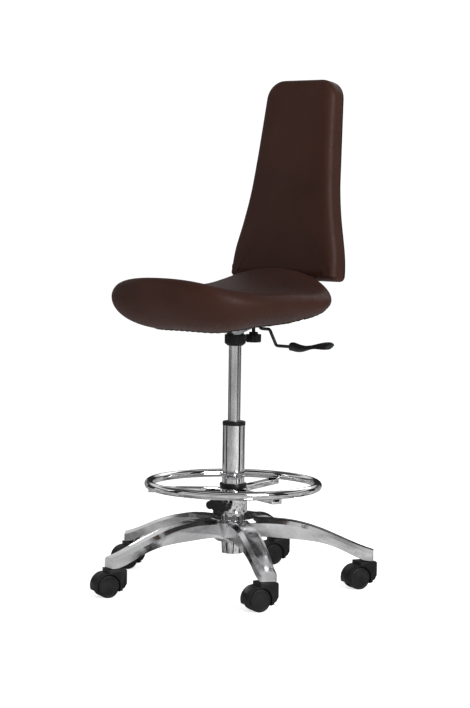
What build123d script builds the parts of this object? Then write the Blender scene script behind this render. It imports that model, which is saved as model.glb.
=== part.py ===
"""Drafting chair: star base on twin-wheel casters, gas lift, sliding foot ring, saddle seat and tall backrest.

Millimetres, +Z up. The origin is on the floor, on the axis of the column. The sitter faces -Y.
"""

import os
from math import cos, radians, sin

from build123d import *

os.makedirs("parts", exist_ok=True)

# ---- driving dimensions ---------------------------------------------------

# base and casters
arm_count = 5
base_turn = -34.8            # direction of the first arm, degrees from +X
stem_circle = 296            # radius on which the caster stems stand
wheel_radius = 25
caster_trail = 22            # stem axis to wheel axle
caster_turn = 247            # direction in which the casters trail
stem_radius = 5.5
hub_radius = 43
hub_bottom = 100
hub_top = 151

# column and gas lift
column_radius = 25
column_wall = 2
column_foot = 72
column_top = 357
cylinder_radius = 14
cylinder_wall = 2
cylinder_foot = 240
taper_foot = 541
taper_top = 578
rod_radius = 5
bush_radius = column_radius - column_wall - 0.03

# foot ring
ring_radius = 187.7
ring_tube = 9.5
ring_height = 225
spoke_turn = 101             # direction of the first spoke
clamp_turn = -79             # direction of the clamp knob, between two spokes
collar_radius = 32
collar_foot = 163
collar_top = 217
liner_radius = 27
clamp_height = 190

# seat
shell_under = 598            # underside of the seat shell
shell_thick = 12
seat_half_width = 208
seat_front = -261
seat_rear = 150
seat_corner = 150
flat_front = -70             # the shell is flat between these two
flat_rear = 30
front_bend = 500             # radius of the rocker in front of the flat
rear_bend = 215              # and behind it
rim = 40                     # the cushion's rim outside the shell
window_half = 80             # opening in the cushion's underside for the mechanism
window_front = -117

# mechanism under the seat
plate_top = 596
plate_thick = 3
flange_out = 48
lever_line = 8               # the lever lies in this plane, parallel to XZ
lever_height = 588
lever_pivot = 38
bar_low = 584.5
bar_thick = 6
bar_wide = 50
clamp_back = 62              # bar clamp's screw behind the column axis

# backrest
back_foot = 680
back_front = 146             # front face at its foot
recline = 7.8
back_height = 454
pad_thick = 36
board_thick = 7
cover_thick = 3
bar_gap = 12                 # cover to bar
bar_front = pad_thick + board_thick + cover_thick + bar_gap

# fits
run = 0.06                   # radial clearance of a running fit
seatfit = 0.02               # clearance of pieces fixed in each other


def finish(builder, name):
    """Label a finished piece and write it."""
    builder.part.label = name
    export_step(builder.part, f"parts/{name}.step")


def turned(builder, angle, x=0.0, y=0.0):
    """The part turned about Z and moved."""
    return builder.part.moved(Location((x, y, 0), (0, 0, angle)))


# ---- star base --------------------------------------------------------------

arm_sections = (             # distance from the axis, underside, top, width
    (30, 104, 150.5, 64),
    (90, 112, 150, 50),
    (160, 107, 141, 47),
    (225, 94, 119, 44),
    (284, 68, 95, 38),
    (316, 64, 85, 36),
)
arm_bevel = 8
arm_wall = 5


def section(reach, low, high, width, bevel):
    """Cross-section of an arm, its upper corners bevelled."""
    half = width / 2
    with BuildSketch(Plane.YZ.offset(reach)) as cut:
        with BuildLine():
            Polyline(
                (-half, low), (half, low), (half, high - bevel),
                (half - bevel, high), (bevel - half, high), (-half, high - bevel),
                close=True,
            )
        make_face()
    return cut.sketch


with BuildPart() as arm_hollow:
    for reach, low, high, width in arm_sections[1:5]:
        add(section(reach, low - 8, high - arm_wall - 3, width - 2 * arm_wall, 4))
    loft()
    with BuildSketch(Plane.XY.offset(40)):
        with Locations((172, 0)):
            RectangleRounded(190, 60, 14)
    extrude(amount=120, mode=Mode.INTERSECT)

with BuildPart() as arm_recess:
    for reach, low, high, width in arm_sections[1:5]:
        add(section(reach, high - 1.2, high + 8, width - 2 * arm_bevel - 4, 1))
    loft()
    with BuildSketch(Plane.XY.offset(40)):
        with Locations((180, 0)):
            SlotCenterToCenter(140, 26)
    extrude(amount=140, mode=Mode.INTERSECT)

with BuildPart() as arm:
    for reach, low, high, width in arm_sections:
        add(section(reach, low, high, width, arm_bevel))
    loft()
    add(arm_hollow.part, mode=Mode.SUBTRACT)
    add(arm_recess.part, mode=Mode.SUBTRACT)
    with BuildSketch(Plane.XY.offset(40)):
        with Locations((150, 0)):
            Rectangle(2 * 164, 80)
        chamfer(vertices().group_by(Axis.X)[-1], 25)
    extrude(amount=140, mode=Mode.INTERSECT)
    with BuildSketch(Plane.XY.offset(50)):
        with Locations((stem_circle, 0)):
            Circle(stem_radius + seatfit)
    extrude(amount=34, mode=Mode.SUBTRACT)
    with BuildSketch(Plane.XY.offset(50)):
        with Locations((stem_circle, 0)):
            Circle(11)
    extrude(amount=14, mode=Mode.SUBTRACT)

with BuildPart() as base_star:
    with Locations(*[Location((0, 0, 0), (0, 0, base_turn + 360 / arm_count * k)) for k in range(arm_count)]):
        add(arm.part)
    with BuildSketch(Plane.XZ):
        with BuildLine():
            Polyline(
                (0, hub_bottom), (hub_radius - 6, hub_bottom), (hub_radius + 8, hub_bottom + 12),
                (hub_radius + 18, hub_top - 6), (hub_radius + 6, hub_top), (0, hub_top), close=True,
            )
        make_face()
    revolve(axis=Axis.Z)
    with BuildSketch(Plane.XY.offset(hub_bottom - 5)):
        Circle(column_radius + seatfit)
    extrude(amount=80, mode=Mode.SUBTRACT)
finish(base_star, "base_star")

# ---- casters ------------------------------------------------------------------

wheel_inner = 3.6            # web side of each wheel from the middle plane
wheel_outer = 19.5
hood_radius = 29
hood_top = 61.5
axle_radius = 3
stem_foot = 46.5

with BuildPart() as caster_stem:
    with BuildSketch(Plane.XZ):
        with BuildLine():
            Polyline(
                (0, stem_foot), (4.5, stem_foot), (4.5, hood_top + 0.3), (8, hood_top + 0.3), (8, 64), (stem_radius, 64),
                (stem_radius, 81), (4, 83.5), (0, 83.5), close=True,
            )
        make_face()
    revolve(axis=Axis.Z)

with BuildPart() as caster_hood:
    with BuildSketch(Plane.XZ):
        with Locations((caster_trail, wheel_radius)):
            Circle(hood_radius)
        with BuildLine():
            Polyline(
                (-19, 30), (-14, 21), (2, 12), (caster_trail, 12),
                (caster_trail, hood_top), (-16, hood_top), (-19, hood_top - 3), close=True,
            )
        make_face()
        with Locations((caster_trail + 25, -15)):
            Rectangle(120, 60, mode=Mode.SUBTRACT)
        with BuildLine():
            Polyline((-12, 16), (2, 12), (caster_trail, 14), (caster_trail + 8, 16), close=True)
        make_face()
    extrude(amount=20, both=True)
    for side in (1, -1):
        with BuildSketch(Plane.XZ.offset(-side * wheel_inner + side * 0.4)):
            with Locations((caster_trail, wheel_radius)):
                Circle(wheel_radius + 1.3)
        extrude(amount=-side * 30, mode=Mode.SUBTRACT)
    with BuildSketch(Plane.XY.offset(stem_foot - 0.3)):
        Circle(4.5 + run)
    extrude(amount=40, mode=Mode.SUBTRACT)
    with BuildSketch(Plane.XZ.offset(-30)):
        with Locations((caster_trail, wheel_radius)):
            Circle(axle_radius + seatfit)
    extrude(amount=60, mode=Mode.SUBTRACT)

with BuildPart() as caster_axle:
    with BuildSketch(Plane.XZ.offset(-16.5)):
        with Locations((caster_trail, wheel_radius)):
            Circle(axle_radius)
    extrude(amount=33)
    chamfer(edges().filter_by(GeomType.CIRCLE), 0.5)

with BuildPart() as caster_wheel:
    with BuildSketch(Plane.XY):
        with BuildLine():
            Polyline(
                (axle_radius + run, wheel_inner), (9, wheel_inner), (9, wheel_inner + 1.5), (20, wheel_inner + 1.5),
                (21.5, wheel_inner), (wheel_radius - 2, wheel_inner), (wheel_radius, wheel_inner + 2),
                (wheel_radius, wheel_outer - 3.5), (wheel_radius - 2.5, wheel_outer - 0.6),
                (20.5, wheel_outer), (19.5, wheel_outer - 1.4), (10, wheel_outer - 0.2),
                (0, wheel_outer), (0, 17), (axle_radius + run, 17), close=True,
            )
        make_face()
    revolve(axis=Axis.Y)

stems = []
for k in range(arm_count):
    angle = base_turn + 360 / arm_count * k
    place = Location(
        (stem_circle * cos(radians(angle)), stem_circle * sin(radians(angle)), 0), (0, 0, caster_turn)
    )
    stems.append(caster_stem.part.moved(place))
    wheel_place = place * Location((caster_trail, 0, wheel_radius))
    pieces = {
        "hood": caster_hood.part.moved(place),
        "axle": caster_axle.part.moved(place),
        "wheel_left": caster_wheel.part.moved(wheel_place),
        "wheel_right": mirror(caster_wheel.part, about=Plane.XZ).moved(wheel_place),
    }
    for word, piece in pieces.items():
        with BuildPart() as caster_piece:
            add(piece)
        finish(caster_piece, f"caster_{word}_{k + 1}")

with BuildPart() as caster_stems:
    add(stems)
finish(caster_stems, "caster_stems")

# ---- column and gas lift ---------------------------------------------------------

slot_count = 12
with BuildPart() as column_tube:
    with BuildSketch(Plane.XZ):
        with BuildLine():
            Polyline(
                (column_radius - column_wall, column_foot), (column_radius - 1.5, column_foot),
                (column_radius, hub_bottom), (column_radius, column_top),
                (column_radius - column_wall, column_top), close=True,
            )
        make_face()
    revolve(axis=Axis.Z)
    with BuildSketch(Plane.XY.offset(column_foot + 6)):
        with PolarLocations(column_radius, slot_count):
            Rectangle(2.4, 3)
    extrude(amount=18, mode=Mode.SUBTRACT)
finish(column_tube, "column_tube")

floor_low = column_foot + 4
floor_high = floor_low + 4
washer_high = floor_high + 1.5
ball_radius = 2
ball_circle = 8
with BuildPart() as column_floor:
    with BuildSketch(Plane.XY.offset(floor_low)):
        Circle(bush_radius)
        Circle(rod_radius + run, mode=Mode.SUBTRACT)
    extrude(amount=floor_high - floor_low)
finish(column_floor, "column_floor")

with BuildPart() as thrust_washer:
    with BuildSketch(Plane.XY.offset(floor_high)):
        Circle(12)
        Circle(rod_radius + run, mode=Mode.SUBTRACT)
    extrude(amount=washer_high - floor_high)
finish(thrust_washer, "thrust_washer")

with BuildPart() as bearing_balls:
    with Locations(Location((0, 0, washer_high + ball_radius + 0.05))):
        with PolarLocations(ball_circle, 8):
            Sphere(ball_radius)
finish(bearing_balls, "bearing_balls")

collar_low = washer_high + 2 * ball_radius + 0.1
with BuildPart() as piston_rod:
    with BuildSketch(Plane.XZ):
        with BuildLine():
            Polyline(
                (0, 69), (4, 69), (rod_radius, 70), (rod_radius, 73), (4, 73), (4, 74.6), (rod_radius, 74.6),
                (rod_radius, collar_low), (11.5, collar_low), (11.5, collar_low + 2.5),
                (rod_radius, collar_low + 2.5), (rod_radius, 306), (11.9, 306), (11.9, 320), (0, 320), close=True,
            )
        make_face()
    revolve(axis=Axis.Z)
finish(piston_rod, "piston_rod")

with BuildPart() as rod_clip:
    with BuildSketch(Plane.XY.offset(73.1)):
        Circle(9)
        Circle(4 + seatfit, mode=Mode.SUBTRACT)
        with Locations((8, 0)):
            Rectangle(16, 6, mode=Mode.SUBTRACT)
    extrude(amount=1.3)
finish(rod_clip, "rod_clip")

with BuildPart() as guide_bush:
    with BuildSketch(Plane.XY.offset(250)):
        Circle(bush_radius)
    extrude(amount=column_top - 250)
    with BuildSketch(Plane.XY.offset(column_top)):
        Circle(column_radius + 0.6)
    extrude(amount=9)
    chamfer(faces().sort_by(Axis.Z)[-1].edges(), 1.5)
    with BuildSketch(Plane.XY.offset(240)):
        Circle(cylinder_radius + run)
    extrude(amount=140, mode=Mode.SUBTRACT)
finish(guide_bush, "guide_bush")

pin_radius = 4
with BuildPart() as gas_cylinder:
    with BuildSketch(Plane.XZ):
        with BuildLine():
            Polyline(
                (cylinder_radius - cylinder_wall, cylinder_foot), (cylinder_radius - 0.8, cylinder_foot),
                (cylinder_radius, cylinder_foot + 1), (cylinder_radius, taper_foot),
                (cylinder_radius - 1, taper_top), (pin_radius + run, taper_top), (pin_radius + run, taper_top - 20),
                (0, taper_top - 20), (0, taper_top - 32), (cylinder_radius - cylinder_wall, taper_top - 32),
                close=True,
            )
        make_face()
    revolve(axis=Axis.Z)
finish(gas_cylinder, "gas_cylinder")

with BuildPart() as cylinder_guide:
    with BuildSketch(Plane.XY.offset(cylinder_foot + 1)):
        Circle(cylinder_radius - cylinder_wall - seatfit)
        Circle(rod_radius + run, mode=Mode.SUBTRACT)
    extrude(amount=14)
finish(cylinder_guide, "cylinder_guide")

pin_top = lever_height - 3.5 - 0.3
with BuildPart() as release_pin:
    with BuildSketch(Plane.XY.offset(taper_top - 15)):
        Circle(pin_radius)
    extrude(amount=pin_top - taper_top + 15)
    chamfer(edges().group_by(Axis.Z)[-1], 1)
finish(release_pin, "release_pin")

# ---- foot ring --------------------------------------------------------------------

with BuildPart() as ring_liner:
    with BuildSketch(Plane.XZ):
        with BuildLine():
            Polyline(
                (column_radius + run, collar_foot), (liner_radius, collar_foot), (liner_radius, collar_top + 0.3),
                (29, collar_top + 0.3), (30.5, collar_top + 9), (29.5, collar_top + 11),
                (column_radius + run, collar_top + 11), close=True,
            )
        make_face()
    revolve(axis=Axis.Z)
finish(ring_liner, "ring_liner")

with BuildPart() as ring_collar:
    with BuildSketch(Plane.XY.offset(collar_foot)):
        Circle(collar_radius)
    extrude(amount=collar_top - collar_foot)
    chamfer(edges().filter_by(GeomType.CIRCLE), 1.2)
    with BuildSketch(Plane.XY.offset(collar_foot - 5)):
        Circle(liner_radius + run)
    extrude(amount=80, mode=Mode.SUBTRACT)
    with BuildSketch(Plane.YZ.rotated((0, 0, clamp_turn)).offset(collar_radius - 6)):
        with Locations((0, clamp_height)):
            Circle(4 + run)
    extrude(amount=20, mode=Mode.SUBTRACT)
finish(ring_collar, "ring_collar")

with BuildPart() as foot_ring:
    with Locations((0, 0, ring_height)):
        Torus(ring_radius, ring_tube)
finish(foot_ring, "foot_ring")

spoke_high = 217
spoke_low = 205
with BuildPart() as ring_spokes:
    with BuildSketch(Plane.XY.offset(spoke_low)):
        with PolarLocations(0, 3, start_angle=spoke_turn):
            with Locations((108, 0)):
                Rectangle(160, 25)
    extrude(amount=spoke_high - spoke_low)
    fillet(edges().filter_by(Axis.Z, reverse=True).filter_by(GeomType.LINE).group_by(SortBy.LENGTH)[-1], 2)
    with BuildSketch(Plane.XY.offset(spoke_low - 5)):
        Circle(collar_radius)
    extrude(amount=30, mode=Mode.SUBTRACT)
    with Locations((0, 0, ring_height)):
        Torus(ring_radius, ring_tube, mode=Mode.SUBTRACT)
finish(ring_spokes, "ring_spokes")

# the clamp stands on the collar along +X and is then turned to its place
with BuildPart() as boss_along:
    with BuildSketch(Plane.YZ.offset(24)):
        with Locations((0, clamp_height)):
            Circle(9)
    extrude(amount=22)
    chamfer(edges().group_by(Axis.X)[-1], 1.5)
    with BuildSketch(Plane.XY.offset(100)):
        Circle(collar_radius)
    extrude(amount=200, mode=Mode.SUBTRACT)
    with BuildSketch(Plane.YZ.offset(20)):
        with Locations((0, clamp_height)):
            Circle(4 + run)
    extrude(amount=40, mode=Mode.SUBTRACT)
with BuildPart() as clamp_boss:
    add(turned(boss_along, clamp_turn))
finish(clamp_boss, "clamp_boss")

pad_tip = liner_radius + 0.35
with BuildPart() as pad_along:
    with BuildSketch(Plane.YZ.offset(pad_tip)):
        with Locations((0, clamp_height)):
            Circle(4)
    extrude(amount=3)
with BuildPart() as clamp_pad:
    add(turned(pad_along, clamp_turn))
finish(clamp_pad, "clamp_pad")

with BuildPart() as screw_along:
    with BuildSketch(Plane.YZ.offset(pad_tip + 3)):
        with Locations((0, clamp_height)):
            Circle(4)
    extrude(amount=32)
with BuildPart() as clamp_screw:
    add(turned(screw_along, clamp_turn))
finish(clamp_screw, "clamp_screw")

lobe_count = 5
with BuildPart() as knob_along:
    with BuildSketch(Plane.YZ.offset(53)):
        with Locations((0, clamp_height)):
            Circle(19)
            with PolarLocations(19.5, lobe_count, start_angle=52):
                Circle(9.5)
    extrude(amount=20)
    chamfer(faces().sort_by(Axis.X)[-1].edges(), 3)
    with BuildSketch(Plane.YZ.offset(49)):
        with Locations((0, clamp_height)):
            Circle(11)
    extrude(amount=4)
    with BuildSketch(Plane.YZ.offset(40)):
        with Locations((0, clamp_height)):
            Circle(4 + seatfit)
    extrude(amount=pad_tip + 3 + 32 - 40 + 0.02, mode=Mode.SUBTRACT)
with BuildPart() as clamp_knob:
    add(turned(knob_along, clamp_turn))
finish(clamp_knob, "clamp_knob")

# ---- seat -------------------------------------------------------------------------

front_sweep = 24
rear_sweep = 34


def rocker(low, high):
    """Side profile of the shell between two heights above its underside."""
    front_centre = (flat_front, shell_under + front_bend)
    rear_centre = (flat_rear, shell_under + rear_bend)
    with BuildSketch(Plane.YZ) as side:
        with BuildLine():
            front_low = CenterArc(front_centre, front_bend - low, -90 - front_sweep, front_sweep)
            front_high = CenterArc(front_centre, front_bend - high, -90 - front_sweep, front_sweep)
            rear_low = CenterArc(rear_centre, rear_bend - low, -90, rear_sweep)
            rear_high = CenterArc(rear_centre, rear_bend - high, -90, rear_sweep)
            Line(front_low @ 1, rear_low @ 0)
            Line(front_high @ 1, rear_high @ 0)
            Line(front_low @ 0, front_high @ 0)
            Line(rear_low @ 1, rear_high @ 1)
        make_face()
    return side.sketch


def outline(inset):
    """Plan of the seat, drawn in by an inset."""
    with BuildSketch(Plane.XY.offset(500)) as plan:
        with Locations((0, (seat_front + seat_rear) / 2)):
            RectangleRounded(
                2 * (seat_half_width - inset), seat_rear - seat_front - 2 * inset, seat_corner - inset
            )
    return plan.sketch


with BuildPart() as seat_shell:
    extrude(rocker(0, shell_thick), amount=260, both=True)
    extrude(outline(rim), amount=400, mode=Mode.INTERSECT)
    with BuildSketch(Plane.XY.offset(plate_top)):
        with Locations((0, -25)):
            RectangleRounded(104, 120, 8)
    extrude(amount=6)
finish(seat_shell, "seat_shell")

# side view: a crown that dips for the sitter, a hull underneath
with BuildSketch(Plane.YZ) as hull_side:
    with BuildLine():
        Spline(
            (seat_front, 660), (seat_front + 10, 680), (-228, 685), (-180, 675), (-100, 668),
            (0, 669), (60, 677), (100, 690), (126, 698), (142, 689), (seat_rear, 670),
        )
        Spline(
            (seat_rear, 655), (127, 622), (98, 603), (30, 588), (-60, 578),
            (-150, 573), (-205, 583), (-236, 605), (seat_front, 645),
        )
        Line((seat_rear, 670), (seat_rear, 655))
        Line((seat_front, 645), (seat_front, 660))
    make_face()

# front view: flat in the middle, rolled up at both sides
with BuildSketch(Plane.XZ) as hull_front:
    with BuildLine():
        over = Spline((-seat_half_width, 645), (-204, 664), (-180, 680), (-110, 698), (0, 703))
        under = Spline((-seat_half_width, 630), (-191, 603), (-159, 589), (-100, 574), (0, 568))
        mirror(over, about=Plane.YZ)
        mirror(under, about=Plane.YZ)
        Line((-seat_half_width, 645), (-seat_half_width, 630))
        Line((seat_half_width, 645), (seat_half_width, 630))
    make_face()

with BuildPart() as seat_cushion:
    extrude(hull_side.sketch, amount=260, both=True)
    extrude(hull_front.sketch, amount=400, both=True, mode=Mode.INTERSECT)
    extrude(outline(0), amount=400, mode=Mode.INTERSECT)
    with BuildPart(mode=Mode.SUBTRACT):
        extrude(rocker(0, shell_thick + 0.05), amount=260, both=True)
        extrude(outline(rim - 0.1), amount=400, mode=Mode.INTERSECT)
    with BuildSketch(Plane.XY.offset(500)):
        with Locations((0, (window_front + 200) / 2)):
            Rectangle(2 * window_half, 200 - window_front)
    extrude(amount=shell_under + 0.5 - 500, mode=Mode.SUBTRACT)
finish(seat_cushion, "seat_cushion")

with BuildPart() as seat_liner:
    with BuildSketch(Plane.XY.offset(shell_under - 1.2)):
        with Locations((0, (flat_front + flat_rear) / 2)):
            Rectangle(2 * window_half - 1, flat_rear - flat_front - 1)
        with Locations((0, -25)):
            RectangleRounded(108, 124, 8, mode=Mode.SUBTRACT)
    extrude(amount=1.2)
finish(seat_liner, "seat_liner")

# ---- mechanism under the seat ---------------------------------------------------------

flange_front = -82
flange_back = 32
bolt_spots = [(x, y) for x in (-30, 30) for y in (-66, 23.5)]
bolt_radius = 4
socket_radius = 19
socket_foot = 540
shroud_radius = 23.5
channel_wall = 3

with BuildPart() as seat_plate:
    with BuildSketch(Plane.XY.offset(plate_top - plate_thick)):
        with Locations((0, (flange_front + flange_back) / 2)):
            Rectangle(2 * flange_out, flange_back - flange_front)
        with Locations((0, 62)):
            Rectangle(66, 62)
    extrude(amount=plate_thick)
    with BuildSketch(Plane.YZ.offset(flange_out - plate_thick)):
        with BuildLine():
            Polyline(
                (flange_front, plate_top - 14), (flange_front, plate_top - 1), (flange_back, plate_top - 1),
                (flange_back, plate_top - 18), (18, plate_top - 18), (-40, 562), (-56, 562), close=True,
            )
        make_face()
    extrude(amount=plate_thick)
    mirror(about=Plane.YZ)
    with BuildSketch(Plane.XY.offset(plate_top - 10)):
        with Locations(*bolt_spots):
            Circle(bolt_radius + 0.3)
    extrude(amount=20, mode=Mode.SUBTRACT)
    with BuildSketch(Plane.YZ.offset(30)):
        with Locations((lever_line, lever_height)):
            SlotOverall(15, 9.4, rotation=90)
    extrude(amount=30, mode=Mode.SUBTRACT)
finish(seat_plate, "seat_plate")

with BuildPart() as lever_ears:
    for side in (1, -1):
        with BuildSketch(Plane.XZ.offset(-lever_line - side * 3.7)):
            with Locations((lever_pivot, lever_height)):
                Circle(5)
            with Locations((lever_pivot, (lever_height + plate_top - plate_thick) / 2)):
                Rectangle(10, plate_top - plate_thick - lever_height)
            with Locations((lever_pivot, lever_height)):
                Circle(2 + seatfit, mode=Mode.SUBTRACT)
        extrude(amount=-side * 2)
finish(lever_ears, "lever_ears")

with BuildPart() as lever_pin:
    with BuildSketch(Plane.XZ.offset(-lever_line - 7)):
        with Locations((lever_pivot, lever_height)):
            Circle(2)
    extrude(amount=14)
finish(lever_pin, "lever_pin")

with BuildPart() as taper_socket:
    with BuildSketch(Plane.XZ):
        with BuildLine():
            Polyline(
                (cylinder_radius + seatfit, socket_foot), (socket_radius, socket_foot),
                (socket_radius, plate_top - plate_thick), (10, plate_top - plate_thick), (10, taper_top + 1),
                (cylinder_radius - 1 + seatfit, taper_top), (cylinder_radius + seatfit, taper_foot), close=True,
            )
        make_face()
    revolve(axis=Axis.Z)
    with BuildSketch(Plane.YZ):
        with Locations((lever_line / 2, lever_height - 1.5)):
            Rectangle(lever_line + 11, 12)
    extrude(amount=30, mode=Mode.SUBTRACT)
finish(taper_socket, "taper_socket")

with BuildPart() as socket_shroud:
    with BuildSketch(Plane.XZ):
        with BuildLine():
            Polyline(
                (cylinder_radius + 0.3, 533.5), (17, 533.5), (shroud_radius - 1, 538), (shroud_radius, 540),
                (shroud_radius, 557), (shroud_radius - 1.5, 558.5), (socket_radius + seatfit, 558.5),
                (socket_radius + seatfit, socket_foot - 0.1), (cylinder_radius + 0.3, socket_foot - 0.1), close=True,
            )
        make_face()
    revolve(axis=Axis.Z)
    with BuildSketch(Plane.XY.offset(543)):
        with PolarLocations(shroud_radius + 0.6, 24):
            Circle(1.4)
    extrude(amount=20, mode=Mode.SUBTRACT)
finish(socket_shroud, "socket_shroud")

with BuildPart() as seat_bolts:
    with BuildSketch(Plane.XY.offset(plate_top - plate_thick - 5)):
        with Locations(*bolt_spots):
            RegularPolygon(6.5, 6)
    extrude(amount=5)
    with BuildSketch(Plane.XY.offset(plate_top - plate_thick)):
        with Locations(*bolt_spots):
            Circle(bolt_radius)
    extrude(amount=plate_thick)
finish(seat_bolts, "seat_bolts")

bar_middle = bar_low + bar_thick / 2
with BuildPart() as bar_channel:
    with BuildSketch(Plane.XZ.offset(-90)):
        with Locations((0, (578 + plate_top - plate_thick) / 2)):
            Rectangle(bar_wide + 2 * channel_wall + 0.4, plate_top - plate_thick - 578)
        with Locations((0, bar_middle)):
            Rectangle(bar_wide + 0.3, bar_thick + 0.3, mode=Mode.SUBTRACT)
    extrude(amount=55)
    with BuildSketch(Plane.XY.offset(570)):
        with Locations((0, clamp_back)):
            Circle(4 + run)
    extrude(amount=15, mode=Mode.SUBTRACT)
finish(bar_channel, "bar_channel")

with BuildPart() as bar_knob:
    with BuildSketch(Plane.XY.offset(538)):
        with Locations((0, clamp_back)):
            Circle(17.5)
            with PolarLocations(21.5, 8):
                Circle(5.5, mode=Mode.SUBTRACT)
    extrude(amount=18)
    chamfer(faces().sort_by(Axis.Z)[0].edges(), 2)
    with BuildSketch(Plane.XY.offset(556)):
        with Locations((0, clamp_back)):
            Circle(10)
    extrude(amount=5)
    with BuildSketch(Plane.XY.offset(556)):
        with Locations((0, clamp_back)):
            Circle(4)
    extrude(amount=bar_low - 0.3 - 556)
finish(bar_knob, "bar_knob")

# ---- height lever ------------------------------------------------------------------------

handle_start = 152
handle_height = 539
lever_dip = 574              # the rod drops below the cushion outside the plate's flange
lever_spots = [
    (1.5, lever_height), (54, lever_height), (68, lever_dip), (92, lever_dip),
    (112, handle_height), (handle_start + 18, handle_height),
]
with BuildPart() as lever_rod:
    with BuildLine(Plane.XZ.offset(-lever_line)):
        FilletPolyline(*lever_spots, radius=8)
    with BuildSketch(Plane.YZ.offset(1.5)):
        with Locations((lever_line, lever_height)):
            Circle(3.5)
    sweep()
    with BuildSketch(Plane.YZ.offset(1)):
        with Locations((3.5, lever_height - 1)):
            Rectangle(16, 5)
    extrude(amount=11)
    with BuildSketch(Plane.XZ.offset(-30)):
        with Locations((lever_pivot, lever_height)):
            Circle(2 + run)
    extrude(amount=60, mode=Mode.SUBTRACT)
finish(lever_rod, "lever_rod")

handle_sections = (          # distance from the axis, height, width, thickness, twist
    (handle_start, handle_height, 14, 17, 0),
    (178, 537, 17, 17, 6),
    (196, 538, 18, 11, 16),
    (214, 542, 20, 7, 24),
    (240, 546, 30, 7, 26),
    (258, 546, 29, 7, 26),
    (265, 545, 20, 5, 26),
)
with BuildPart() as lever_handle:
    for reach, height, width, thick, twist in handle_sections:
        with BuildSketch(Plane.YZ.offset(reach)):
            with Locations((lever_line, height)):
                Ellipse(width / 2, thick / 2, rotation=twist)
    loft()
    with BuildSketch(Plane.YZ.offset(handle_start - 1)):
        with Locations((lever_line, handle_height)):
            Circle(3.5 + seatfit)
    extrude(amount=19.2, mode=Mode.SUBTRACT)
finish(lever_handle, "lever_handle")

# ---- back bar -------------------------------------------------------------------------------

lean = radians(recline)
back_plane = Plane(origin=(0, back_front, back_foot), x_dir=(1, 0, 0), z_dir=(0, -cos(lean), sin(lean)))
bar_axis_back = bar_front + bar_thick / 2
bar_top_reach = 190
bar_inner = 32


def on_back(up, behind):
    """A point of the middle plane, up along the backrest and behind its front face."""
    spot = back_plane.from_local_coords(Vector(0, up, -behind))
    return spot.Y, spot.Z


bar_top = on_back(bar_top_reach, bar_axis_back)
climb = (bar_middle - bar_top[1]) / cos(lean)
bar_corner = (bar_top[0] + climb * sin(lean), bar_middle)
with BuildPart() as back_bar:
    with BuildLine(Plane.YZ):
        FilletPolyline((bar_inner, bar_middle), bar_corner, bar_top, radius=34)
    with BuildSketch(Plane.XZ.offset(-bar_inner)):
        with Locations((0, bar_middle)):
            Rectangle(bar_wide, bar_thick)
    sweep()
finish(back_bar, "back_bar")

# ---- backrest --------------------------------------------------------------------------------


def back_outline(behind, inset):
    """Face outline of the backrest at a depth behind its front, drawn in by an inset."""
    with BuildSketch(back_plane.offset(-behind)) as face:
        with BuildLine():
            left = Spline(
                (-155 + inset, inset), (-149 + inset, 62), (-134 + inset, 122), (-120 + inset, 190),
                (-111 + inset, 270), (-105 + inset, 345), (-97 + inset, back_height - inset),
            )
            right = mirror(left, about=Plane.YZ)
            Line(left @ 0, right @ 0)
            Line(left @ 1, right @ 1)
        make_face()
        fillet(vertices().group_by(Axis.Y)[-1], 44 - inset / 2)
        fillet(vertices().group_by(Axis.Y)[0], 13 - inset)
    return face.sketch


with BuildPart() as back_pad:
    extrude(back_outline(0, 0), amount=-pad_thick)
    fillet(faces().sort_by(SortBy.AREA)[-2:].sort_by(Axis.Y)[0].edges(), 16)
finish(back_pad, "back_pad")

with BuildPart() as back_board:
    extrude(back_outline(pad_thick, 2), amount=-board_thick)
finish(back_board, "back_board")

with BuildPart() as back_cover:
    extrude(back_outline(pad_thick + board_thick, 1), amount=-cover_thick)
    chamfer(faces().sort_by(SortBy.AREA)[-2:].sort_by(Axis.Y)[-1].edges(), 1.5)
finish(back_cover, "back_cover")

carriage_low = 44
carriage_high = 164
carriage_wide = bar_wide + 14
knob_up = 104
screw_spots = [(x, y) for x in (-42, 42) for y in (carriage_low + 14, carriage_high - 14)]
cover_back = pad_thick + board_thick + cover_thick
with BuildPart() as back_bracket:
    with BuildSketch(back_plane.offset(-cover_back)):
        with Locations((0, (carriage_low + carriage_high) / 2)):
            RectangleRounded(112, carriage_high - carriage_low, 10)
    extrude(amount=-4)
    with BuildSketch(back_plane.offset(-cover_back - 4)):
        with Locations((0, (carriage_low + carriage_high) / 2)):
            RectangleRounded(carriage_wide, carriage_high - carriage_low, 4)
    extrude(amount=-(bar_gap - 4 + bar_thick + 9))
    with BuildSketch(back_plane.offset(-bar_front + 0.15)):
        with Locations((0, 0)):
            Rectangle(bar_wide + 0.3, 600)
    extrude(amount=-(bar_thick + 0.3), mode=Mode.SUBTRACT)
    with BuildSketch(back_plane.offset(-bar_front - bar_thick)):
        with Locations((0, knob_up)):
            Circle(4 + run)
    extrude(amount=-30, mode=Mode.SUBTRACT)
    with BuildSketch(back_plane.offset(-cover_back + 2)):
        with Locations(*screw_spots):
            Circle(3.2)
    extrude(amount=-8, mode=Mode.SUBTRACT)
finish(back_bracket, "back_bracket")

with BuildPart() as back_bolts:
    with BuildSketch(back_plane.offset(-cover_back)):
        with Locations(*screw_spots):
            Circle(3)
    extrude(amount=-4)
    with BuildSketch(back_plane.offset(-cover_back - 4)):
        with Locations(*screw_spots):
            Circle(6)
    extrude(amount=-3)
finish(back_bolts, "back_bolts")

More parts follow.
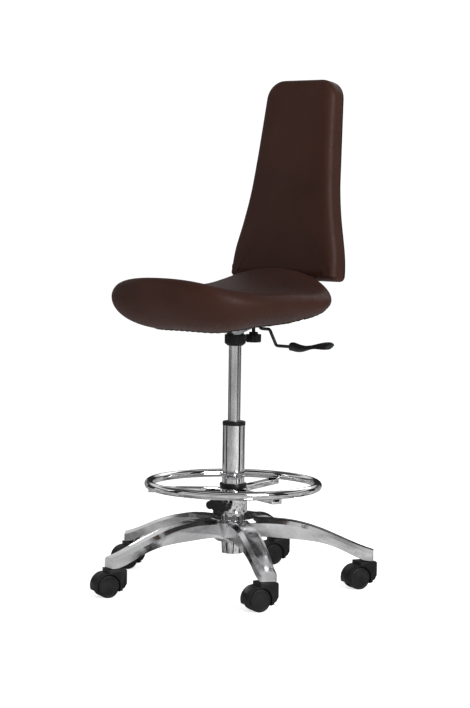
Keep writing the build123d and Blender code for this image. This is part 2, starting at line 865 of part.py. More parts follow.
knob_base = bar_front + bar_thick + 12
with BuildPart() as back_knob:
    with BuildSketch(back_plane.offset(-knob_base)):
        with Locations((0, knob_up)):
            Circle(9)
    extrude(amount=-4)
    with BuildSketch(back_plane.offset(-knob_base - 4)):
        with Locations((0, knob_up)):
            Circle(19)
            with PolarLocations(19.5, lobe_count):
                Circle(8)
    extrude(amount=-18)
    chamfer(faces().sort_by(Axis.Y)[-1].edges(), 3)
    with BuildSketch(back_plane.offset(-bar_front - bar_thick - 0.3)):
        with Locations((0, knob_up)):
            Circle(4)
    extrude(amount=-20)
finish(back_knob, "back_knob")
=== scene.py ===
import math

import bmesh
import bpy
from mathutils import Matrix, Vector, noise


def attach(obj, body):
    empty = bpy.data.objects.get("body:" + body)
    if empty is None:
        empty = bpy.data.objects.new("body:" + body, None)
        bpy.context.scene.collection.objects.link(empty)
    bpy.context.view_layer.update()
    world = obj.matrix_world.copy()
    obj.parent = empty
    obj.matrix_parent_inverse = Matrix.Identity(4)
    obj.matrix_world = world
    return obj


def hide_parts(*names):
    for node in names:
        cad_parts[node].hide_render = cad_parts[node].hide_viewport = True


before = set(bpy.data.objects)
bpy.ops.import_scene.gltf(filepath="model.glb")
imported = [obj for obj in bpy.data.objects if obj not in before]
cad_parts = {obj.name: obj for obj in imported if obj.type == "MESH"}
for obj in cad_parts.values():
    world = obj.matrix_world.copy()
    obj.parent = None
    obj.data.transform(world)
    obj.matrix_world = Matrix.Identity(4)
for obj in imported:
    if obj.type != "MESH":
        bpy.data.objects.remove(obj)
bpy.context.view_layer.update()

# ---- studio ----------------------------------------------------------------------------------
# The chair stands on a pale seamless floor under large soft lamps. The camera stands in
# front of the chair, towards the sitter's left, a little above the seat.

camera_turn = math.radians(41)
camera_distance = 4.5
camera_height = 0.8552
camera_tip = math.radians(4.33)
camera_roll = math.radians(0.815)
lens = 103.8

viewer = bpy.data.cameras.new("camera")
viewer.lens = lens
viewer.clip_end = 60
viewer_object = bpy.data.objects.new("camera", viewer)
bpy.context.scene.collection.objects.link(viewer_object)
viewer_x = camera_distance * math.sin(camera_turn)
viewer_y = -camera_distance * math.cos(camera_turn)
viewer_object.matrix_world = (
    Matrix.Translation((viewer_x, viewer_y, camera_height))
    @ Matrix.Rotation(camera_turn, 4, "Z")
    @ Matrix.Rotation(math.pi / 2 - camera_tip, 4, "X")
    @ Matrix.Rotation(camera_roll, 4, "Z")
)
bpy.context.scene.camera = viewer_object
bpy.context.scene.view_settings.view_transform = "Standard"


def mesh_object(name, vertices, faces, crease_angle=40):
    """A mesh piece with smooth faces, its edges kept crisp above an angle."""
    mesh = bpy.data.meshes.new(name)
    mesh.from_pydata([tuple(v) for v in vertices], [], [tuple(f) for f in faces])
    piece = bpy.data.objects.new(name, mesh)
    bpy.context.scene.collection.objects.link(piece)
    tidy_faces(piece, crease_angle)
    return piece


def tidy_faces(piece, crease_angle=40, weld=0.00001):
    """Welds loose points, turns the faces outwards and marks the crisp edges."""
    work = bmesh.new()
    work.from_mesh(piece.data)
    bmesh.ops.remove_doubles(work, verts=work.verts, dist=weld)
    bmesh.ops.recalc_face_normals(work, faces=work.faces)
    for face in work.faces:
        face.smooth = True
    for edge in work.edges:
        edge.smooth = edge.calc_face_angle(0) < math.radians(crease_angle)
    work.to_mesh(piece.data)
    work.free()


def finish_modifiers(piece):
    """Applies the piece's modifiers."""
    bpy.context.view_layer.update()
    shaped_piece = piece.evaluated_get(bpy.context.evaluated_depsgraph_get())
    shaped = bpy.data.meshes.new_from_object(shaped_piece)
    piece.modifiers.clear()
    piece.data = shaped


def paint(piece, material):
    """Gives the whole piece one material."""
    piece.data.materials.clear()
    piece.data.materials.append(material)
    for face in piece.data.polygons:
        face.material_index = 0


def plain(name, rgb, roughness):
    """A new Principled material and its node tree."""
    material = bpy.data.materials.new(name)
    material.use_nodes = True
    nodes = material.node_tree.nodes
    shader = nodes["Principled BSDF"]
    shader.inputs["Base Color"].default_value = (*rgb, 1)
    shader.inputs["Roughness"].default_value = roughness
    return material, nodes, material.node_tree.links, shader


def grain(nodes, links, scale, detail=3.0, stretch=(1, 1, 1)):
    """A noise pattern on the piece's own coordinates."""
    place = nodes.new("ShaderNodeTexCoord")
    turn = nodes.new("ShaderNodeMapping")
    turn.inputs["Scale"].default_value = stretch
    cloud = nodes.new("ShaderNodeTexNoise")
    cloud.inputs["Scale"].default_value = scale
    cloud.inputs["Detail"].default_value = detail
    links.new(place.outputs["Object"], turn.inputs["Vector"])
    links.new(turn.outputs["Vector"], cloud.inputs["Vector"])
    return cloud


def ramp(nodes, links, source, low, high, spot_low=0.3, spot_high=0.7):
    """Turns a grey pattern into a range of colours or greys."""
    scale = nodes.new("ShaderNodeValToRGB")
    scale.color_ramp.elements[0].position = spot_low
    scale.color_ramp.elements[1].position = spot_high
    scale.color_ramp.elements[0].color = (*low, 1) if hasattr(low, "__len__") else (low, low, low, 1)
    scale.color_ramp.elements[1].color = (*high, 1) if hasattr(high, "__len__") else (high, high, high, 1)
    links.new(source, scale.inputs["Fac"])
    return scale.outputs["Color"]


def vary(nodes, links, shader, socket, pattern, low, high, spot_low=0.3, spot_high=0.7):
    """Lets a pattern drive one of the shader's sockets between two colours or greys."""
    shade = ramp(nodes, links, pattern.outputs["Fac"], low, high, spot_low, spot_high)
    links.new(shade, shader.inputs[socket])


def relief(nodes, links, shader, source, strength, height, before=None):
    """Adds a bump to the shader, after an earlier one if there is one."""
    bump = nodes.new("ShaderNodeBump")
    bump.inputs["Strength"].default_value = strength
    bump.inputs["Distance"].default_value = height
    links.new(source, bump.inputs["Height"])
    if before:
        links.new(before.outputs["Normal"], bump.inputs["Normal"])
    links.new(bump.outputs["Normal"], shader.inputs["Normal"])
    return bump


floor_paper, nodes, links, shader = plain("floor_paper", (0.9, 0.9, 0.9), 0.85)
shader.inputs["Specular IOR Level"].default_value = 0.1
vary(nodes, links, shader, "Base Color", grain(nodes, links, 2.0), 0.9, 0.95)
shader.inputs["Emission Color"].default_value = (1, 1, 1, 1)
shader.inputs["Emission Strength"].default_value = 0.66


def sheet(name, half, height):
    """A flat square sheet that lies round the origin."""
    corners = [(-half, -half, height), (half, -half, height), (half, half, height), (-half, half, height)]
    return mesh_object(name, corners, [(0, 1, 2, 3)])


floor = sheet("floor", 15, 0)
paint(floor, floor_paper)
floor.visible_glossy = False


def lamp(name, spot, aim, width, height, power):
    """A soft rectangular lamp that points at a spot."""
    light = bpy.data.lights.new(name, "AREA")
    light.shape = "RECTANGLE"
    light.size = width
    light.size_y = height
    light.energy = power
    holder = bpy.data.objects.new(name, light)
    bpy.context.scene.collection.objects.link(holder)
    way = Vector(aim) - Vector(spot)
    aimed = way.to_track_quat("-Z", "Y").to_matrix().to_4x4()
    holder.matrix_world = Matrix.Translation(spot) @ aimed
    return holder


lamp("key", (3.2, -0.8, 2.2), (0.1, 0, 0.6), 1.5, 1.8, 100)
lamp("fill", (-2.6, -3.0, 1.8), (0, 0, 0.6), 1.4, 2.0, 8)
lamp("back", (-0.6, 3.0, 2.6), (0, 0, 0.5), 2.0, 1.4, 12)

flag_cloth, nodes, links, shader = plain("flag_cloth", (0.01, 0.01, 0.01), 0.95)
vary(nodes, links, shader, "Base Color", grain(nodes, links, 3.0), 0.006, 0.03)
shader.inputs["Specular IOR Level"].default_value = 0.05


def only_in_polish(card, material):
    """A studio card that shows in polished surfaces and nowhere else."""
    paint(card, material)
    card.visible_camera = False
    card.visible_diffuse = False
    card.visible_shadow = False
    card.visible_transmission = False


def flag(name, turn, distance, width, low, high):
    """A tall dark card at a direction from the camera's, in degrees."""
    way = camera_turn - math.pi / 2 + math.radians(turn)
    centre = Vector((math.cos(way), math.sin(way), 0)) * distance
    across = Vector((-math.sin(way), math.cos(way), 0)) * width / 2
    corners = [centre - across, centre + across]
    feet = [(*c.xy, low) for c in corners]
    heads = [(*c.xy, high) for c in reversed(corners)]
    only_in_polish(mesh_object(name, feet + heads, [(0, 1, 2, 3)]), flag_cloth)


grey_card, nodes, links, shader = plain("grey_card", (0.45, 0.45, 0.45), 0.95)
vary(nodes, links, shader, "Base Color", grain(nodes, links, 5.0, 5), 0.25, 0.75, 0.42, 0.58)
shader.inputs["Specular IOR Level"].default_value = 0.05
only_in_polish(sheet("grey_floor", 9, 0.003), grey_card)

flag("flag_left", -78, 1.5, 0.42, 0.0, 2.0)
flag("flag_right", 62, 1.6, 0.5, 0.0, 2.0)
flag("flag_far_left", -128, 1.9, 0.8, 0.02, 0.7)
flag("flag_far_right", 118, 1.8, 0.5, 0.02, 0.9)
flag("flag_behind", 172, 2.4, 1.7, 0.04, 0.9)

world = bpy.data.worlds.new("studio")
bpy.context.scene.world = world
world.use_nodes = True
nodes = world.node_tree.nodes
links = world.node_tree.links
around = nodes.new("ShaderNodeTexCoord")
axes = nodes.new("ShaderNodeSeparateXYZ")
links.new(around.outputs["Generated"], axes.inputs["Vector"])


def bands(source, stops):
    """Grey bands of the studio along one direction."""
    shade = nodes.new("ShaderNodeValToRGB")
    shade.color_ramp.elements[0].position = stops[0][0]
    shade.color_ramp.elements[0].color = (stops[0][1],) * 3 + (1,)
    shade.color_ramp.elements[1].position = stops[-1][0]
    shade.color_ramp.elements[1].color = (stops[-1][1],) * 3 + (1,)
    for spot, grey in stops[1:-1]:
        shade.color_ramp.elements.new(spot).color = (grey, grey, grey, 1)
    links.new(source, shade.inputs["Fac"])
    return shade.outputs["Color"]


compass = nodes.new("ShaderNodeMath")
compass.operation = "ARCTAN2"
links.new(axes.outputs["Y"], compass.inputs[0])
links.new(axes.outputs["X"], compass.inputs[1])
share = nodes.new("ShaderNodeMapRange")
share.inputs["From Min"].default_value = -math.pi
share.inputs["From Max"].default_value = math.pi
links.new(compass.outputs["Value"], share.inputs["Value"])
walls = bands(share.outputs["Result"], (
    (0.0, 0.9), (0.06, 0.85), (0.09, 0.1), (0.15, 0.06), (0.18, 0.9), (0.3, 1.0), (0.42, 1.0), (0.47, 0.8),
    (0.505, 0.04), (0.56, 0.08), (0.6, 0.6), (0.72, 0.35), (0.78, 0.12), (0.86, 0.5), (0.9, 0.1), (0.95, 0.2),
    (1.0, 0.9),
))
ceiling = bands(axes.outputs["Z"], (
    (0.0, 0.5), (0.1, 0.4), (0.15, 0.08), (0.28, 0.05), (0.36, 0.6), (0.5, 0.7), (0.6, 0.08), (0.84, 0.05),
    (0.92, 0.6), (1.0, 0.5),
))
rise = nodes.new("ShaderNodeMapRange")
rise.inputs["From Min"].default_value = 0.03
rise.inputs["From Max"].default_value = 0.1
links.new(axes.outputs["Z"], rise.inputs["Value"])
room = nodes.new("ShaderNodeMixRGB")
links.new(rise.outputs["Result"], room.inputs["Fac"])
links.new(walls, room.inputs["Color1"])
links.new(ceiling, room.inputs["Color2"])
path = nodes.new("ShaderNodeLightPath")
pick = nodes.new("ShaderNodeMixRGB")
pick.inputs["Color1"].default_value = (0.42, 0.42, 0.42, 1)
links.new(path.outputs["Is Glossy Ray"], pick.inputs["Fac"])
links.new(room.outputs["Color"], pick.inputs["Color2"])
seen = nodes.new("ShaderNodeMixRGB")
seen.inputs["Color2"].default_value = (1.05, 1.05, 1.05, 1)
links.new(path.outputs["Is Camera Ray"], seen.inputs["Fac"])
links.new(pick.outputs["Color"], seen.inputs["Color1"])
links.new(seen.outputs["Color"], nodes["Background"].inputs["Color"])
nodes["Background"].inputs["Strength"].default_value = 1.0

# ---- star base -------------------------------------------------------------------------------
# A die-cast aluminium star with five bowed arms, ground and polished by hand.
# The bevels are bright, and one polished finish covers the whole star, underside too.

polished, nodes, links, shader = plain("polished_aluminium", (0.83, 0.83, 0.84), 0.1)
shader.inputs["Metallic"].default_value = 1
hand = grain(nodes, links, 26, 5)
vary(nodes, links, shader, "Base Color", hand, (0.74, 0.74, 0.75), (0.88, 0.88, 0.89))
vary(nodes, links, shader, "Roughness", grain(nodes, links, 90, 4), 0.06, 0.17)
relief(nodes, links, shader, hand.outputs["Fac"], 0.12, 0.0015)


def dress(material, *names):
    """Gives CAD nodes a finish."""
    for name in names:
        paint(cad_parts[name], material)


def softened(names, name, width, material, body, segments=2, crease_angle=35):
    """A copy of CAD nodes with their sharp edges rounded over, in place of them."""
    work = bmesh.new()
    for node in names:
        work.from_mesh(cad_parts[node].data)
    bmesh.ops.remove_doubles(work, verts=work.verts, dist=0.00002)
    bmesh.ops.dissolve_limit(work, angle_limit=math.radians(1.2), verts=work.verts, edges=work.edges)
    bmesh.ops.recalc_face_normals(work, faces=work.faces)
    mesh = bpy.data.meshes.new(name)
    work.to_mesh(mesh)
    work.free()
    piece = bpy.data.objects.new(name, mesh)
    bpy.context.scene.collection.objects.link(piece)
    bevel = piece.modifiers.new("edges", "BEVEL")
    bevel.width = width
    bevel.segments = segments
    bevel.limit_method = "ANGLE"
    bevel.angle_limit = math.radians(crease_angle)
    bevel.harden_normals = False
    finish_modifiers(piece)
    tidy_faces(piece, 50, 0.000005)
    paint(piece, material)
    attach(piece, body)
    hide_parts(*names)
    return piece


dress(polished, "base_star")

# ---- casters ---------------------------------------------------------------------------------
# Five twin-wheel casters in black glass-filled nylon: a hood with its stem socket, and two
# moulded wheels with raised rims and domed hub discs on a steel axle.

moulded, nodes, links, shader = plain("black_nylon", (0.006, 0.006, 0.0065), 0.42)
skin = grain(nodes, links, 900, 2)
vary(
    nodes, links, shader, "Base Color", grain(nodes, links, 18, 4),
    (0.003, 0.003, 0.0035), (0.009, 0.009, 0.0095),
)
vary(nodes, links, shader, "Roughness", grain(nodes, links, 60, 3), 0.34, 0.52)
shader.inputs["Specular IOR Level"].default_value = 0.3
relief(nodes, links, shader, skin.outputs["Fac"], 0.25, 0.0002)

tread, nodes, links, shader = plain("wheel_tread", (0.008, 0.008, 0.0085), 0.5)
vary(
    nodes, links, shader, "Base Color", grain(nodes, links, 45, 5),
    (0.004, 0.004, 0.004), (0.012, 0.012, 0.013),
)
vary(nodes, links, shader, "Roughness", grain(nodes, links, 120, 3), 0.36, 0.62)
shader.inputs["Specular IOR Level"].default_value = 0.3
relief(nodes, links, shader, grain(nodes, links, 700, 2).outputs["Fac"], 0.3, 0.0002)

bright, nodes, links, shader = plain("bright_steel", (0.62, 0.62, 0.64), 0.25)
shader.inputs["Metallic"].default_value = 1
vary(nodes, links, shader, "Roughness", grain(nodes, links, 300, 3), 0.18, 0.36)
vary(nodes, links, shader, "Base Color", grain(nodes, links, 40, 3), (0.52, 0.52, 0.54), (0.68, 0.68, 0.7))

dress(bright, "caster_stems")
for k in range(1, 6):
    softened([f"caster_hood_{k}"], f"hood_{k}", 0.0011, moulded, f"caster_{k}")
    dress(bright, f"caster_axle_{k}")
    for side in ("left", "right"):
        wheel = f"wheel_{side}_{k}"
        softened([f"caster_{wheel}"], wheel, 0.0006, tread, wheel)

# ---- column and gas lift ---------------------------------------------------------------------
# A chromed steel column pressed into the base, with its slotted foot below the hub. The
# chromed gas cylinder slides in a black guide bush.

chrome, nodes, links, shader = plain("chrome", (0.9, 0.9, 0.91), 0.05)
shader.inputs["Metallic"].default_value = 1
vary(nodes, links, shader, "Base Color", grain(nodes, links, 22, 4), (0.84, 0.84, 0.85), (0.94, 0.94, 0.95))
vary(nodes, links, shader, "Roughness", grain(nodes, links, 160, 4), 0.03, 0.09)
relief(nodes, links, shader, grain(nodes, links, 35, 2).outputs["Fac"], 0.03, 0.001)

satin, nodes, links, shader = plain("satin_chrome", (0.8, 0.8, 0.81), 0.2)
shader.inputs["Metallic"].default_value = 1
vary(nodes, links, shader, "Roughness", grain(nodes, links, 60, 4, (1, 1, 0.05)), 0.12, 0.28)
vary(nodes, links, shader, "Base Color", grain(nodes, links, 30, 3), (0.72, 0.72, 0.73), (0.86, 0.86, 0.87))

dress(chrome, "column_tube")
dress(satin, "gas_cylinder")
dress(bright, "column_floor", "thrust_washer", "bearing_balls", "piston_rod", "rod_clip")
dress(bright, "cylinder_guide", "release_pin")
softened(["guide_bush"], "guide_bush_top", 0.0006, moulded, "base")

# ---- foot ring -------------------------------------------------------------------------------
# A bent steel tube ring on three welded flat spokes round a collar, all chromed. A black knob
# clamps the collar to the column over a nylon liner.

dress(chrome, "foot_ring")
softened(["ring_spokes"], "spokes", 0.001, chrome, "foot_ring")
softened(["ring_collar"], "collar", 0.0006, chrome, "foot_ring")
softened(["clamp_boss"], "boss", 0.0006, chrome, "foot_ring")
softened(["ring_liner"], "collar_liner", 0.0006, moulded, "ring_liner")
dress(bright, "clamp_screw", "clamp_pad")
softened(["clamp_knob"], "star_knob", 0.0022, moulded, "clamp_knob", 3)

# ---- seat ------------------------------------------------------------------------------------
# A moulded plywood shell under thick foam, covered in brown leather that is pulled over the
# rim and stapled underneath, round a black dust cover.

leather, nodes, links, shader = plain("leather", (0.034, 0.0125, 0.009), 0.42)
hide = grain(nodes, links, 7, 4)
vary(nodes, links, shader, "Base Color", hide, (0.027, 0.0085, 0.0052), (0.040, 0.0135, 0.0085), 0.25, 0.75)
vary(nodes, links, shader, "Roughness", grain(nodes, links, 120, 4), 0.44, 0.58)
place = nodes.new("ShaderNodeTexCoord")
pebbles = nodes.new("ShaderNodeTexVoronoi")
pebbles.feature = "DISTANCE_TO_EDGE"
pebbles.inputs["Scale"].default_value = 780
links.new(place.outputs["Object"], pebbles.inputs["Vector"])
first = relief(nodes, links, shader, pebbles.outputs["Distance"], 0.16, 0.0004)
relief(nodes, links, shader, grain(nodes, links, 45, 5).outputs["Fac"], 0.1, 0.002, first)
shader.inputs["Specular IOR Level"].default_value = 0.16
shader.inputs["Sheen Weight"].default_value = 0.02
shader.inputs["Sheen Roughness"].default_value = 0.5

seat_half = 0.2065
seat_ahead = 0.217
seat_behind = 0.195
seat_middle = -0.0445
front_square = 3.3           # how square the outline's front half is
rear_square = 4.0
dish_height = 0.6676         # lowest part of the dish
front_rise = 0.0295
front_curve = 3.6
rear_rise = 0.0453
rear_curve = 2.67
side_fall = 0.0125           # the sides hang below the middle line
front_corner_fall = 0.005
rear_corner_fall = 0.048
keel_height = 0.5706         # lowest part of the underside
front_keel_rise = 0.002
rear_keel_rise = 0.0232
bilge_rise = 0.0131
front_corner_drop = 0.017
rear_corner_drop = 0.0067
top_roll_from = 0.88         # share of the reach where the rim's upper roll begins
low_roll_from = 0.5
top_roll_share = 0.31        # share of the seat's depth taken by the upper roll
low_roll_share = 0.69
shell_face = 0.5972          # underside of the shell, where the plate and the back bar pass
shell_flat_half = 0.056
shell_flat_front = -0.092
shell_flat_fade = 0.05


def soft_step(value):
    """A smooth rise from 0 to 1."""
    value = min(max(value, 0), 1)
    return value * value * (3 - 2 * value)


def seat_point(turn, reach, under):
    """A point of the seat's skin at a direction and a share of the way to the rim."""
    across, along = math.cos(turn), math.sin(turn)
    ahead = along < 0
    length = seat_ahead if ahead else seat_behind
    square = front_square if ahead else rear_square
    edge = (abs(across / seat_half) ** square + abs(along / length) ** square) ** (-1 / square)
    s = edge * across / seat_half
    t = edge * along / length
    x = reach * edge * across
    y = seat_middle + reach * edge * along
    rise = front_rise if ahead else rear_rise
    rise *= (abs(t) * reach) ** (front_curve if ahead else rear_curve)
    corner_fall = front_corner_fall if ahead else rear_corner_fall
    top = dish_height + rise - (s * reach) ** 2 * (side_fall + corner_fall * (t * reach) ** 2)
    keel_rise = front_keel_rise if ahead else rear_keel_rise
    corner_drop = front_corner_drop if ahead else rear_corner_drop
    low = keel_height + keel_rise * t * t + s * s * (bilge_rise - corner_drop * t * t)
    deep = top - low
    roll_from = low_roll_from if under else top_roll_from
    roll = min(max((reach - roll_from) / (1 - roll_from), 0), 1)
    drop = 1 - math.sqrt(max(1 - roll * roll, 0))
    if under:
        off_flat = math.hypot(max(abs(x) - shell_flat_half, 0), max(-y + shell_flat_front, 0))
        aside = soft_step(off_flat / shell_flat_fade)
        return x, y, shell_face * (1 - aside) + low * aside + drop * deep * low_roll_share
    return x, y, top - drop * deep * top_roll_share


turns = 160
quarter = math.pi / 2
low_flat_to = 0.48
reaches_top = [i / 24 * top_roll_from for i in range(1, 25)]
reaches_top += [top_roll_from + (1 - top_roll_from) * math.sin(i / 12 * quarter) for i in range(1, 13)]
reaches_low = [low_roll_from + (1 - low_roll_from) * math.sin(i / 24 * quarter) for i in range(23, -1, -1)]
reaches_low += [i / 12 * low_flat_to for i in range(12, 0, -1)]
points = [seat_point(0, 0, False)]
rings = []
for under, reaches in ((False, reaches_top), (True, reaches_low)):
    for reach in reaches:
        rings.append(len(points))
        points += [seat_point(2 * math.pi * k / turns, reach, under) for k in range(turns)]
faces = [(0, 1 + k, 1 + (k + 1) % turns) for k in range(turns)]
for a, b in zip(rings, rings[1:]):
    faces += [(a + k, b + k, b + (k + 1) % turns, a + (k + 1) % turns) for k in range(turns)]
points.append(seat_point(0, 0, True))
faces += [(rings[-1] + (k + 1) % turns, rings[-1] + k, len(points) - 1) for k in range(turns)]
seat = mesh_object("seat_cover", points, faces, 80)
paint(seat, leather)
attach(seat, "seat")
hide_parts("seat_cushion")

dust, nodes, links, shader = plain("dust_cover", (0.012, 0.012, 0.012), 0.8)
vary(
    nodes, links, shader, "Base Color", grain(nodes, links, 30, 4),
    (0.008, 0.008, 0.008), (0.02, 0.02, 0.02),
)
relief(nodes, links, shader, grain(nodes, links, 1400, 2).outputs["Fac"], 0.4, 0.0004)

dust_edge = (                # direction in degrees and share of the way to the rim
    (-90, 0.60), (-30, 0.62), (0, 0.68), (15, 0.76), (28, 0.88), (40, 0.95), (52, 0.94), (68, 0.87),
    (90, 0.84),
)
dust_proud = 0.0011
dust_thick = 0.0006
dust_ragged = 0.006
ragged_pitch = 14


def dust_reach(turn):
    """How far the black cover reaches towards the rim, highest at the rear corners."""
    side = math.degrees(math.asin(math.sin(turn)))
    for (a, low), (b, high) in zip(dust_edge, dust_edge[1:]):
        if side <= b:
            return low + (high - low) * soft_step((side - a) / (b - a))
    return dust_edge[-1][1]


def hull_point(turn, reach, proud):
    """A point that stands proud of the seat's underside."""
    here = Vector(seat_point(turn, reach, True))
    beside = Vector(seat_point(turn + 0.01, reach, True)) - here
    outward = here - Vector(seat_point(turn, reach - 0.01, True))
    away = outward.cross(beside).normalized()
    return here + away * (proud if away.z < 0 else -proud), away if away.z < 0 else -away


turns = 180
rows = 22
points = []
for j in range(1, rows + 1):
    for k in range(turns):
        turn = 2 * math.pi * k / turns
        wander = noise.noise(Vector((math.cos(turn) * ragged_pitch, math.sin(turn) * ragged_pitch, 3.1)))
        reach = dust_reach(turn) + (dust_ragged * wander if j == rows else 0)
        points.append(hull_point(turn, reach * j / rows, dust_proud)[0])
points.append(Vector((0, seat_middle, shell_face - dust_proud)))
faces = []
for a in range(0, (rows - 1) * turns, turns):
    b = a + turns
    faces += [(a + k, a + (k + 1) % turns, b + (k + 1) % turns, b + k) for k in range(turns)]
faces += [((k + 1) % turns, k, len(points) - 1) for k in range(turns)]
cover = mesh_object("dust_cover", points, faces, 60)
wall = cover.modifiers.new("wall", "SOLIDIFY")
wall.thickness = dust_thick
wall.offset = 0
finish_modifiers(cover)
paint(cover, dust)
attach(cover, "seat")
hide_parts("seat_liner")


def staple_tree(material):
    """Staples laid along a path, each turned to the path and to the surface under it."""
    tree = bpy.data.node_groups.new("staples", "GeometryNodeTree")
    tree.interface.new_socket("Path", in_out="INPUT", socket_type="NodeSocketGeometry")
    spacing = tree.interface.new_socket("Spacing", in_out="INPUT", socket_type="NodeSocketFloat")
    crown = tree.interface.new_socket("Crown", in_out="INPUT", socket_type="NodeSocketFloat")
    wire = tree.interface.new_socket("Wire", in_out="INPUT", socket_type="NodeSocketFloat")
    tree.interface.new_socket("Staples", in_out="OUTPUT", socket_type="NodeSocketGeometry")
    nodes, links = tree.nodes, tree.links
    given = nodes.new("NodeGroupInput")
    result = nodes.new("NodeGroupOutput")
    curve = nodes.new("GeometryNodeMeshToCurve")
    even = nodes.new("GeometryNodeResampleCurve")
    even.mode = "LENGTH"
    spots = nodes.new("GeometryNodeCurveToPoints")
    spots.mode = "EVALUATED"
    size = nodes.new("ShaderNodeCombineXYZ")
    staple = nodes.new("GeometryNodeMeshCube")
    lay = nodes.new("GeometryNodeInputNamedAttribute")
    lay.data_type = "FLOAT_VECTOR"
    lay.inputs["Name"].default_value = "lay"
    along = nodes.new("FunctionNodeAlignRotationToVector")
    along.axis = "X"
    upright = nodes.new("FunctionNodeAlignRotationToVector")
    upright.axis = "Z"
    upright.pivot_axis = "X"
    place = nodes.new("GeometryNodeInstanceOnPoints")
    real = nodes.new("GeometryNodeRealizeInstances")
    finish = nodes.new("GeometryNodeSetMaterial")
    finish.inputs["Material"].default_value = material
    links.new(given.outputs["Path"], curve.inputs["Mesh"])
    links.new(curve.outputs["Curve"], even.inputs["Curve"])
    links.new(given.outputs["Spacing"], even.inputs["Length"])
    links.new(even.outputs["Curve"], spots.inputs["Curve"])
    links.new(given.outputs["Crown"], size.inputs["X"])
    links.new(given.outputs["Wire"], size.inputs["Y"])
    links.new(given.outputs["Wire"], size.inputs["Z"])
    links.new(size.outputs["Vector"], staple.inputs["Size"])
    links.new(spots.outputs["Tangent"], along.inputs["Vector"])
    links.new(along.outputs["Rotation"], upright.inputs["Rotation"])
    links.new(lay.outputs["Attribute"], upright.inputs["Vector"])
    links.new(spots.outputs["Points"], place.inputs["Points"])
    links.new(staple.outputs["Mesh"], place.inputs["Instance"])
    links.new(upright.outputs["Rotation"], place.inputs["Rotation"])
    links.new(place.outputs["Instances"], real.inputs["Geometry"])
    links.new(real.outputs["Geometry"], finish.inputs["Geometry"])
    links.new(finish.outputs["Geometry"], result.inputs["Staples"])
    return tree, spacing.identifier, crown.identifier, wire.identifier


def staples(name, spots, material, spacing, crown, wire):
    """A row of staples along a closed line of points and their surface normals."""
    mesh = bpy.data.meshes.new(name)
    loop = [(i, (i + 1) % len(spots)) for i in range(len(spots))]
    mesh.from_pydata([tuple(spot) for spot, way in spots], loop, [])
    lay = mesh.attributes.new("lay", "FLOAT_VECTOR", "POINT")
    for i, (spot, way) in enumerate(spots):
        lay.data[i].vector = way
    piece = bpy.data.objects.new(name, mesh)
    bpy.context.scene.collection.objects.link(piece)
    tree, spacing_key, crown_key, wire_key = staple_tree(material)
    row = piece.modifiers.new("staples", "NODES")
    row.node_group = tree
    row[spacing_key] = spacing
    row[crown_key] = crown
    row[wire_key] = wire
    finish_modifiers(piece)
    tidy_faces(piece, 30)
    paint(piece, material)
    return piece


staple_inset = 0.022
staple_proud = 0.0018
row_turns = [2 * math.pi * k / 240 for k in range(240)]
row_line = [hull_point(turn, dust_reach(turn) - staple_inset, staple_proud) for turn in row_turns]
seat_staples = staples("seat_staples", row_line, bright, 0.016, 0.0095, 0.0009)
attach(seat_staples, "seat")

ply, nodes, links, shader = plain("plywood", (0.45, 0.3, 0.17), 0.6)
vary(
    nodes, links, shader, "Base Color", grain(nodes, links, 40, 5, (0.1, 1, 1)),
    (0.36, 0.23, 0.12), (0.55, 0.38, 0.22),
)
dress(ply, "seat_shell")

# ---- mechanism under the seat ----------------------------------------------------------------
# A pressed bright steel plate bolted under the shell, with the cylinder's tapered socket, a
# plastic shroud round it, and the channel that holds the back bar.

enamel, nodes, links, shader = plain("black_steel", (0.018, 0.018, 0.019), 0.35)
vary(
    nodes, links, shader, "Base Color", grain(nodes, links, 25, 4),
    (0.012, 0.012, 0.013), (0.03, 0.03, 0.032),
)
vary(nodes, links, shader, "Roughness", grain(nodes, links, 240, 3), 0.28, 0.5)
relief(nodes, links, shader, grain(nodes, links, 500, 2).outputs["Fac"], 0.2, 0.0003)
shader.inputs["Metallic"].default_value = 0.2

softened(["seat_plate"], "plate", 0.0008, bright, "seat")
softened(["taper_socket"], "socket", 0.0006, enamel, "seat")
softened(["socket_shroud"], "shroud", 0.0005, moulded, "seat")
softened(["bar_channel"], "channel", 0.0008, enamel, "seat")
softened(["seat_bolts"], "plate_bolts", 0.0005, bright, "seat")
dress(enamel, "lever_ears", "lever_pin")
softened(["bar_knob"], "depth_knob", 0.0012, moulded, "bar_knob", 3)

# ---- height lever ----------------------------------------------------------------------------
# A bent black steel rod that lifts the gas lift's release pin, with a flat glossy paddle.

gloss, nodes, links, shader = plain("black_gloss", (0.01, 0.01, 0.011), 0.16)
vary(nodes, links, shader, "Roughness", grain(nodes, links, 90, 4), 0.12, 0.24)
vary(
    nodes, links, shader, "Base Color", grain(nodes, links, 20, 3),
    (0.008, 0.008, 0.008), (0.016, 0.016, 0.017),
)
dress(enamel, "lever_rod")
dress(gloss, "lever_handle")

# ---- back bar and backrest -------------------------------------------------------------------
# A flat black spring-steel bar runs back from the channel and up behind the backrest, which
# slides on it in a bracket with a clamping knob.

dress(enamel, "back_bar")
softened(["back_bracket"], "bracket", 0.0012, enamel, "backrest", 3)
softened(["back_bolts"], "bracket_screws", 0.0006, bright, "backrest")
softened(["back_knob"], "height_knob", 0.0022, moulded, "back_knob", 3)
softened(["back_cover"], "rear_cover", 0.0008, moulded, "backrest", 3)

back_half = (                # height up the backrest and half width there
    (0.0, 0.155), (0.062, 0.149), (0.122, 0.134), (0.19, 0.12), (0.27, 0.111), (0.345, 0.105),
    (0.454, 0.097),
)
back_lean = math.radians(7.8)
back_foot = (0.146, 0.680)
back_tall = 0.454
top_round = 0.044
top_taper = 0.002
foot_round = 0.012
pad_deep = 0.0425            # the leather also wraps the edge of the moulded board


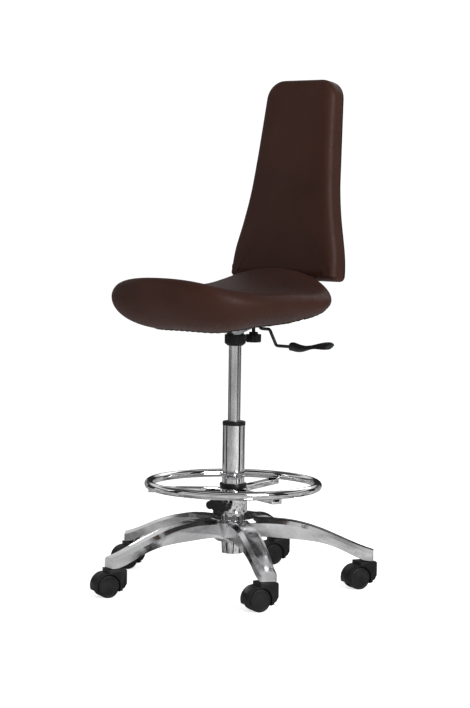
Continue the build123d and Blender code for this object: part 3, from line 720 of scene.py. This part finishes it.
def back_place(x, up, behind):
    """A point of the backrest, up along it and behind its front face."""
    return (
        x,
        back_foot[0] + up * math.sin(back_lean) + behind * math.cos(back_lean),
        back_foot[1] + up * math.cos(back_lean) - behind * math.sin(back_lean),
    )


def back_width(up):
    """Half width of the backrest at a height, through its shaping points."""
    ups = [u for u, w in back_half]
    widths = [w for u, w in back_half]
    top = len(ups) - 1
    k = max(0, min(top - 1, sum(1 for u in ups if u <= up) - 1))
    slopes = []
    for i in range(top + 1):
        a, b = max(i - 1, 0), min(i + 1, top)
        slopes.append((widths[b] - widths[a]) / (ups[b] - ups[a]))
    span = ups[k + 1] - ups[k]
    f = (up - ups[k]) / span
    return (
        (2 * f ** 3 - 3 * f ** 2 + 1) * widths[k] + (f ** 3 - 2 * f ** 2 + f) * span * slopes[k]
        + (3 * f ** 2 - 2 * f ** 3) * widths[k + 1] + (f ** 3 - f ** 2) * span * slopes[k + 1]
    )


def back_rim(count):
    """Outline of the backrest's face, anticlockwise from the middle of its foot."""
    foot_edge = back_width(0) - foot_round
    top_edge = back_width(back_tall - top_round) - top_round
    straight = back_tall - top_round - foot_round
    rim = [(i / 12 * foot_edge, 0.0) for i in range(13)]
    for i in range(1, 8):
        turn = (i / 8 - 1) * math.pi / 2
        rim.append((foot_edge + foot_round * math.cos(turn), foot_round + foot_round * math.sin(turn)))
    rim += [(back_width(up), up) for up in (foot_round + straight * i / count for i in range(count + 1))]
    for i in range(1, 10):
        turn = i / 10 * math.pi / 2
        across = top_edge + top_round * math.cos(turn) - top_taper * i / 10
        rim.append((across, back_tall - top_round + top_round * math.sin(turn)))
    edge = rim[-1][0]
    rim += [(edge * (1 - i / 8), back_tall) for i in range(1, 9)]
    return rim + [(-x, up) for x, up in reversed(rim[1:-1])]


rim = back_rim(40)
heart = (0.0, 0.2)


def inset_rim(rim, inset):
    """The outline drawn in by an inset along its own normals."""
    out = []
    for i, (x, up) in enumerate(rim):
        ahead, behind = rim[(i + 1) % len(rim)], rim[i - 1]
        way = Vector((ahead[0] - behind[0], ahead[1] - behind[1])).normalized()
        out.append((x - way.y * inset, up + way.x * inset))
    return out


pad_round = 0.025
pad_roll = 0.02
crown = 0.004
layers = [(0.006, pad_deep), (0.002, pad_deep - 0.0006), (0.0004, pad_deep - 0.002)]
layers += [(0.0, pad_deep - 0.004 * i) for i in range(1, 5)]
for i in range(11):
    turn = i / 10 * math.pi / 2
    layers.append((pad_round * (1 - math.cos(turn)), pad_roll * (1 - math.sin(turn))))
points = []
points.append(back_place(*heart, pad_deep))
count = len(rim)
for inset, behind in layers:
    points += [back_place(x, up, behind) for x, up in inset_rim(rim, inset)]
inner = inset_rim(rim, pad_round)
fills = 16
for j in range(1, fills):
    f = j / fills
    swell = crown * (1 - (1 - f) ** 2)
    drawn_in = [(x * (1 - f) + heart[0] * f, up * (1 - f) + heart[1] * f) for x, up in inner]
    points += [back_place(x, up, -swell) for x, up in drawn_in]
points.append(back_place(*heart, -crown))
faces = [(0, 1 + (k + 1) % count, 1 + k) for k in range(count)]
rows = len(layers) + fills - 1
for j in range(rows - 1):
    a = 1 + j * count
    b = a + count
    faces += [(a + k, a + (k + 1) % count, b + (k + 1) % count, b + k) for k in range(count)]
last = 1 + (rows - 1) * count
faces += [(last + k, last + (k + 1) % count, len(points) - 1) for k in range(count)]
back = mesh_object("back_cushion", points, faces, 80)
paint(back, leather)
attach(back, "backrest")
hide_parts("back_pad", "back_board")
